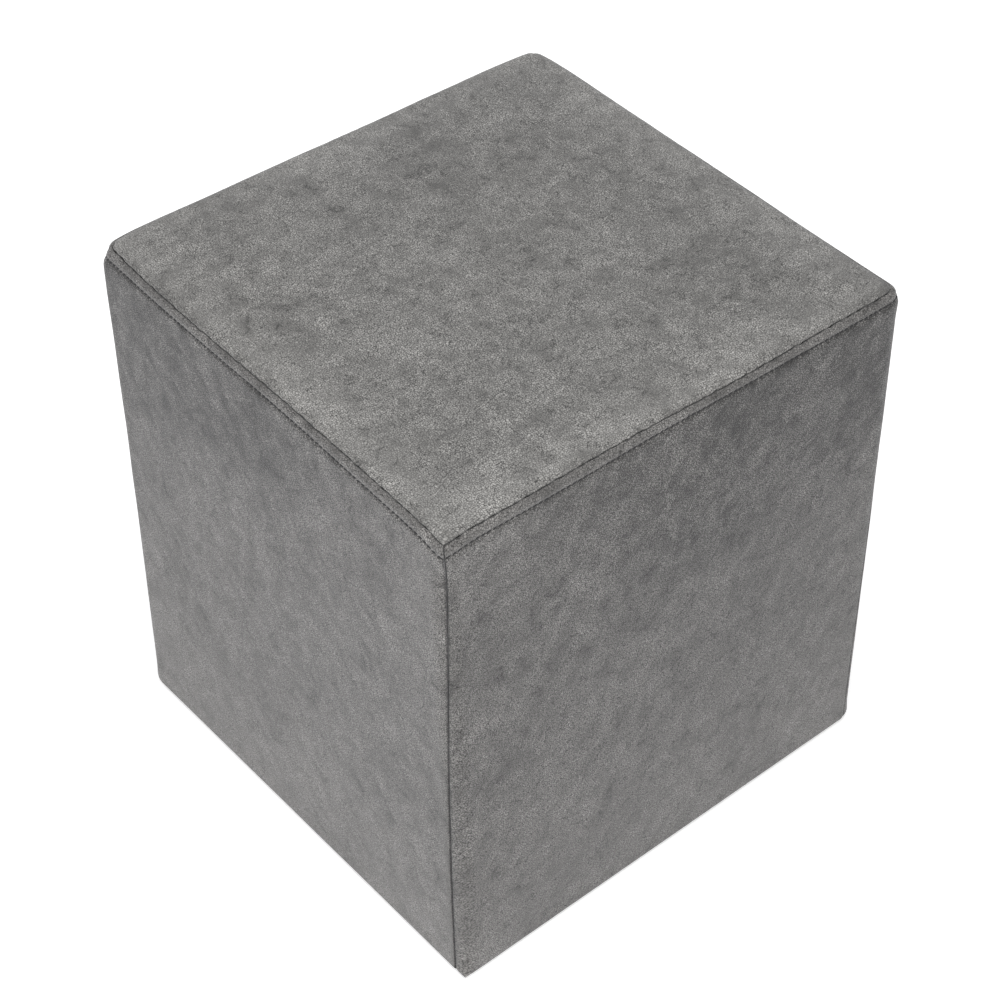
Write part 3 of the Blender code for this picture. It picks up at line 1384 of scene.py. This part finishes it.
@dataclass(frozen=True)
class Unevenness:
    """Slow rises and hollows that a hand-filled cover has."""

    height: float = 0.00030
    length: float = 0.060

    def relief(self, cloth: np.ndarray, seed: float) -> np.ndarray:
        """How far the cloth's face stands proud at each place on it.

        Args:
            cloth: Two flat coordinates a row.
            seed: Place in the noise.

        Returns:
            The outward distances.
        """
        return self.height * noise_field(cloth / self.length, seed)


@dataclass
class TopPanel:
    """The top panel with the filling under it, as one filled piece."""

    body: Body
    filling: Filling
    row: StitchRow
    finish: bpy.types.Material
    spacing: float = 0.00145
    hidden_drops: tuple[float, ...] = (0.0013, 0.0030, 0.0055, 0.0070, 0.0090)
    wall_rings: int = 8
    foot_rings: int = 3
    clearance: float = 0.0003
    seed: float = 11.0
    uneven: Unevenness = Unevenness()

    def build(self) -> bpy.types.Object:
        """Builds the piece and dresses it.

        Returns:
            The finished piece.
        """
        body, half = self.body, self.body.half_top
        lines = lines_across(half, SEAM_STEP, self.spacing)
        drops, depths = self.levels()
        bm = grid(len(lines) - 1, len(lines) - 1)
        edges = [edge for edge in bm.edges if edge.is_boundary]
        for _ in drops:
            made = bmesh.ops.extrude_edge_only(bm, edges=edges)["geom"]
            edges = [item for item in made if isinstance(item, bmesh.types.BMEdge)]
            verts = list({vert for edge in edges for vert in edge.verts})
            bmesh.ops.translate(bm, verts=verts, vec=(0, 0, -1))
        bmesh.ops.edgeloop_fill(bm, edges=edges)
        piece = finished("top_and_filling", bm)

        index = np.round(vertices_of(piece)).astype(int)
        x, y = lines[index[:, 0]], lines[index[:, 1]]
        side, share, ring = around(x, y)
        level = np.clip(-index[:, 2], 0, None)
        on_top = level == 0
        inward = half - ring
        cloth = np.stack([x, y], axis=-1)
        depth = body.seam.depth(np.maximum(inward, 0)) - self.uneven.relief(cloth, self.seed)
        depth = np.where(on_top, depth, np.append(0.0, depths)[level])
        drop = np.where(on_top, -np.clip(inward, 0, body.top_roll), np.append(0.0, drops)[level])
        points = body.place(side, share, drop - body.seam.gap / 2, depth, even=True)
        flat = np.clip(ring / body.flat_half, 0, 1)
        points[:, :2] *= np.where(on_top, flat, 1.0)[:, None]
        points[:, 2] += np.where(on_top, self.filling.swell("top", x / half, y / half), 0)
        shape(piece, body.settle(points))

        lay_pattern(piece, cloth)
        mark(piece, "from_seam", np.where(on_top, inward, 0))
        piece.data.materials.append(self.finish)
        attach(piece, BODY)
        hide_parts("seat")
        return piece

    def levels(self) -> tuple[np.ndarray, np.ndarray]:
        """Levels of the filling behind the side panels, from the top seam down.

        Returns:
            Each level's drop and depth.
        """
        body = self.body
        behind = body.cloth + body.filling_gap + self.clearance
        wall = np.linspace(0, body.wall_height, self.wall_rings) + body.shoulder_cloth
        foot = np.linspace(0, body.foot_radius * QUARTER, self.foot_rings + 1)[1:] + wall[-1]
        drops = np.array([0.0, *self.hidden_drops, *wall, *foot])
        pressed = np.clip(self.row.pressed(drops, self.row.drop), 0, None)
        return drops, behind + body.seam.depth(drops) + pressed


@dataclass
class SidePanel:
    """One side panel, a sheet that is sewn to its neighbours and drawn tight over the filling."""

    side: Side
    body: Body
    filling: Filling
    row: StitchRow
    finish: bpy.types.Material
    nap_lean: float = math.radians(30)
    cut_step: float = 0.7
    first_seed: float = 3.0
    seed_step: float = 5.0
    foot_calm: float = 0.030
    stitched_zone: float = 0.0120
    stitched_spacing: float = 0.00065
    wall_step: float = 0.0008
    wall_growth: float = 1.22
    wall_spacing: float = 0.0110
    foot_zone: float = 0.100
    foot_step: float = 0.00015
    foot_growth: float = 1.30
    cells_a_stitch: int = 4
    uneven: Unevenness = Unevenness()

    def build(self) -> bpy.types.Object:
        """Builds the piece and dresses it.

        Returns:
            The finished piece.
        """
        body = self.body
        columns, rows = self.columns(), self.rows()
        bm = grid(len(columns) - 1, len(rows) - 1)
        thicken(bm)
        piece = finished(f"{self.side.node}_cloth", bm)

        index = np.round(vertices_of(piece)).astype(int)
        across, drop = columns[index[:, 0]], rows[index[:, 1]]
        share = across / body.half_side
        cloth = np.stack([across, -drop], axis=-1)
        seed = self.first_seed + self.seed_step * self.side.value
        from_corner = body.half_side - np.abs(across)
        pressed = body.seam.depth(drop) + body.seam.depth(body.side_length - drop)
        pressed = pressed + body.seam.depth(from_corner) * np.clip(drop / body.seam.fold_radius, 0, 1)
        line = self.row.line(self.side.value, share)
        pressed = pressed + self.row.depth(across, drop, line, seed)
        over_foot = np.clip((body.side_length - drop) / self.foot_calm, 0, 1)
        pressed = pressed - self.uneven.relief(cloth, seed) * over_foot
        depth = pressed + np.where(index[:, 2] == 0, body.cloth, 0.0)
        edge_gap = body.seam.gap / 2
        inner_drop = np.clip(drop, edge_gap, body.side_length - edge_gap)
        points = body.place(self.side.value, share, inner_drop, depth, gap=body.seam.gap)
        shape(piece, body.settle(self.filling.filled(self.side, share, drop, points)))

        lay_pattern(piece, self.cut(cloth))
        mark(piece, "from_seam", drop)
        mark(piece, "from_row", drop - line)
        mark(piece, "from_corner", from_corner)
        mark(piece, "from_front", body.half_side + across * self.away_from_front)
        piece.data.materials.append(self.finish)
        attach(piece, BODY)
        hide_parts(self.side.node)
        return piece

    @property
    def away_from_front(self) -> int:
        """Which way along the panel leads away from the front corner, or from the one opposite."""
        return 1 if self.side in (Side.FRONT, Side.BACK) else -1

    def columns(self) -> np.ndarray:
        """Lines across the panel, fine at its corner seams."""
        return lines_across(self.body.half_side, SEAM_STEP, self.row.pitch / self.cells_a_stitch)

    def rows(self) -> np.ndarray:
        """Lines down the panel, fine where it is sewn and stitched.

        Returns:
            The lines' distances under the top seam.
        """
        stitched = graded_lines(self.stitched_zone, SEAM_STEP, self.stitched_spacing)
        foot = graded_lines(self.foot_zone, self.foot_step, self.wall_spacing, self.foot_growth)
        rest = self.body.side_length - self.stitched_zone - self.foot_zone
        wall = graded_lines(rest, self.wall_step, self.wall_spacing, self.wall_growth)
        down = (stitched, self.stitched_zone + wall[1:-1], self.body.side_length - foot[::-1])
        return np.concatenate(down)

    def cut(self, cloth: np.ndarray) -> np.ndarray:
        """Where the panel was cut from the cloth, with the nap leaning towards the front corner.

        Args:
            cloth: Flat coordinates on the panel.

        Returns:
            Flat coordinates on the cloth.
        """
        lean = self.nap_lean * self.away_from_front
        cos, sin = math.cos(lean), math.sin(lean)
        x, y = cloth.T
        shift = self.cut_step * (self.side.value + 1)
        return np.stack([x * cos - y * sin + shift, x * sin + y * cos], axis=-1)


@dataclass
class Topstitching:
    """The row of thread under the top seam on one side panel."""

    side: Side
    body: Body
    filling: Filling
    row: StitchRow
    finish: bpy.types.Material
    stitch_length: float = 0.0034
    thread_radius: float = 0.00048
    lift: float = 0.00020
    slant: float = math.radians(10)
    slant_sway: float = math.radians(14)
    row_sway: float = 0.00022
    chance_step: float = 0.77
    chance_seed: float = 0.5
    sections: int = 8
    rings: int = 7

    def build(self) -> bpy.types.Object:
        """Builds the row and dresses it.

        Returns:
            The finished piece.
        """
        # Stitches lie between the needle holes, which are at whole pitches from the middle
        count = math.floor((self.body.half_side - self.stitch_length / 2) / self.row.pitch + 0.5)
        bm = bmesh.new()
        bm.loops.layers.uv.new("UVMap")
        for number in range(-count, count):
            self.add_stitch(bm, (number + 0.5) * self.row.pitch)
        piece = finished(f"{self.side.node}_topstitching", bm)
        piece.data.shade_smooth()
        piece.data.materials.append(self.finish)
        log.info("%s has %d stitches", piece.name, 2 * count)
        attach(piece, BODY)
        return piece

    def add_stitch(self, bm: bmesh.types.BMesh, across: float) -> None:
        """Adds one stitch.

        Args:
            bm: The row's mesh.
            across: Where the stitch's middle lies, from the panel's middle.
        """
        step = self.stitch_length / 2
        number = across / self.row.pitch * self.chance_step
        chance = noise.noise_vector(Vector((number, self.side.value, self.chance_seed)))
        off = chance.x * self.row_sway
        start, end, low, high = self.on_cloth(
            np.array([across - step, across + step, across, across]),
            np.array([off, off, off + step / 4, off - step / 4]),
        )
        middle = (start + end) / 2
        along = (end - start).normalized()
        out = along.cross(high - low).normalized()
        if out.dot(middle - Vector((0, 0, self.body.half))) < 0:
            out = -out
        turned = Quaternion(out, self.slant + chance.y * self.slant_sway) @ along
        frame_axes = Matrix((turned, out.cross(turned), out)).transposed().to_4x4()
        size = Matrix.Diagonal((step, self.thread_radius, self.thread_radius, 1))
        place = Matrix.Translation(middle + out * self.lift) @ frame_axes @ size
        ball_on_side = Matrix.Rotation(QUARTER, 4, "Y")
        bmesh.ops.create_uvsphere(
            bm,
            u_segments=self.sections,
            v_segments=self.rings,
            radius=1.0,
            matrix=place @ ball_on_side,
            calc_uvs=True,
        )

    def on_cloth(self, across: np.ndarray, from_row: np.ndarray) -> list[Vector]:
        """Places on the panel's face, in the stitches' channel.

        Args:
            across: Cloth distance along the panel, from its middle.
            from_row: Cloth distance under the row.

        Returns:
            The places, in the frame.
        """
        body = self.body
        share = across / body.half_side
        line = self.row.line(self.side.value, share)
        drop = line + from_row
        depth = body.seam.depth(drop) + self.row.pressed(drop, line)
        points = body.place(np.full(len(share), self.side.value), share, drop, depth)
        points = self.filling.filled(self.side, share, drop, points)
        return [Vector(point) for point in body.settle(points)]


@dataclass
class BasePanel:
    """The flat panel under the pouf, with its edge turned up to the side panels."""

    body: Body
    finish: bpy.types.Material
    edge_step: float = 0.00030
    spacing: float = 0.0060

    def build(self) -> bpy.types.Object:
        """Builds the piece and dresses it.

        Returns:
            The finished piece.
        """
        body = self.body
        flat_half = body.half - body.foot_radius
        roll = body.foot_radius * (QUARTER + body.base_seam_tilt)
        half = flat_half + roll
        lines = lines_across(half, self.edge_step, self.spacing)
        bm = grid(len(lines) - 1, len(lines) - 1)
        thicken(bm)
        piece = finished("base_cloth", bm)

        index = np.round(vertices_of(piece)).astype(int)
        x, y = lines[index[:, 0]], lines[index[:, 1]]
        side, share, ring = around(x, y)
        from_edge = half - ring
        drop = body.side_length + body.seam.gap + np.clip(from_edge, 0, roll)
        depth = body.seam.depth(from_edge) * np.clip(1 - from_edge / roll, 0, 1)
        depth = depth + np.where(index[:, 2] == 0, body.cloth, 0.0)
        points = body.place(side, share, drop, depth, even=True)
        points[:, :2] *= np.clip(ring / flat_half, 0, 1)[:, None]
        shape(piece, body.settle(points))

        lay_pattern(piece, np.stack([x, y], axis=-1))
        piece.data.materials.append(self.finish)
        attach(piece, BODY)
        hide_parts("base_panel")
        return piece


# ---------------------------------------------------------------------------------------------
# Studio
# ---------------------------------------------------------------------------------------------


@dataclass(frozen=True)
class Camera:
    """The camera, by what it aims at and how it looks there."""

    aim: Place = (0.0006, -0.0045, 0.200)
    azimuth: float = math.radians(37.874)
    elevation: float = math.radians(42.751)
    roll: float = math.radians(-1.059)
    distance: float = 1.7310
    lens: float = 90.485
    sensor: float = 36.0

    def build(self) -> None:
        """Adds the camera and makes it the scene's own."""
        level = math.cos(self.elevation)
        back = Vector((
            -math.sin(self.azimuth) * level,
            -math.cos(self.azimuth) * level,
            math.sin(self.elevation),
        ))
        camera = bpy.data.objects.new("camera", bpy.data.cameras.new("camera"))
        camera.data.lens = self.lens
        camera.data.sensor_width = self.sensor
        camera.location = Vector(self.aim) + back * self.distance
        camera.rotation_mode = "QUATERNION"
        upright = (-back).to_track_quat("-Z", "Y")
        camera.rotation_quaternion = upright @ Quaternion((0, 0, 1), self.roll)
        bpy.context.scene.collection.objects.link(camera)
        bpy.context.scene.camera = camera


@dataclass(frozen=True)
class Softbox:
    """A wide, soft lamp that stays out of the picture."""

    name: str
    place: Place
    aim: Place
    width: float
    height: float
    power: float

    def build(self) -> None:
        """Adds the lamp."""
        light = bpy.data.lights.new(self.name, "AREA")
        light.shape = "RECTANGLE"
        light.size = self.width
        light.size_y = self.height
        light.energy = self.power
        lamp = bpy.data.objects.new(self.name, light)
        lamp.visible_camera = False
        lamp.location = self.place
        lamp.rotation_mode = "QUATERNION"
        lamp.rotation_quaternion = (Vector(self.aim) - Vector(self.place)).to_track_quat("-Z", "Y")
        bpy.context.scene.collection.objects.link(lamp)


@dataclass(frozen=True)
class Studio:
    """A pale floor, lit from below as a light table is, under soft, even light."""

    floor_size: float = 60.0
    floor_grey: float = 0.80
    floor_glow: float = 0.49
    sky_strength: float = 0.446
    lights: tuple[Softbox, ...] = (
        Softbox("overhead_softbox", (-0.3, -0.4, 2.4), (0.0, 0.0, 0.2), 1.6, 1.6, 28.2),
        Softbox("front_softbox", (-0.50, -0.64, 0.75), (0.0, 0.0, 0.25), 0.5, 0.5, 2.55),
        Softbox("left_strip", (-0.80, 0.0, 0.08), (0.0, 0.0, 0.08), 1.0, 0.16, 1.1),
        Softbox("back_strip", (0.40, 1.10, 0.60), (0.0, 0.185, 0.40), 1.0, 0.20, 2.5),
    )

    def build(self) -> None:
        """Adds the floor, the light and the plain view of their colours."""
        bm = bmesh.new()
        bmesh.ops.create_grid(bm, x_segments=1, y_segments=1, size=self.floor_size / 2)
        floor = finished("floor", bm)
        material, _, shader = new_material("floor_paint")
        shader.inputs["Base Color"].default_value = (*[self.floor_grey] * 3, 1.0)
        shader.inputs["Roughness"].default_value = 1.0
        shader.inputs["Specular IOR Level"].default_value = 0.0
        shader.inputs["Emission Color"].default_value = (1.0, 1.0, 1.0, 1.0)
        shader.inputs["Emission Strength"].default_value = self.floor_glow
        floor.data.materials.append(material)

        scene = bpy.context.scene
        scene.world = bpy.data.worlds.new("studio")
        scene.world.use_nodes = True
        sky = scene.world.node_tree.nodes["Background"]
        sky.inputs["Color"].default_value = (1.0, 1.0, 1.0, 1.0)
        sky.inputs["Strength"].default_value = self.sky_strength
        scene.view_settings.view_transform = "Standard"
        for light in self.lights:
            light.build()


def main() -> None:
    """Builds the pouf and its studio in order."""
    logging.basicConfig(level=logging.INFO, format="%(message)s")
    noise.seed_set(NOISE_SEED)
    body = Body()
    row = StitchRow()
    effects = Effects()
    # one suede cloth in two colours: the sides' colour is set darker than the top's as painted shade,
    # to how each face is lit
    top_suede = Suede("suede_top", (0.2072, 0.2031, 0.1950)).material(effects)
    side_suede = Suede(
        "suede_side", (0.1445, 0.1398, 0.1350), stretch=1.25, painted_light=SidePaintedLight()
    ).material(effects)
    # the thread's near-black colour is partly its own dark grey and partly painted shade of the
    # channel it lies in
    thread = Thread("thread", (0.030, 0.030, 0.032)).material(effects)
    under = PlainCloth("base_cloth", (0.060, 0.060, 0.062)).material(effects)

    Camera().build()
    Studio().build()
    filling = Filling(body)
    filling.settle()
    log.info("the filling has settled")
    top = TopPanel(body, filling, row, top_suede).build()
    log.info("%s: %d faces", top.name, len(top.data.polygons))
    for side in Side:
        panel = SidePanel(side, body, filling, row, side_suede).build()
        stitches = Topstitching(side, body, filling, row, thread).build()
        log.info("%s: %d faces", panel.name, len(panel.data.polygons))
    base = BasePanel(body, under).build()
    log.info("%s: %d faces", base.name, len(base.data.polygons))


if __name__ == "__main__":
    main()
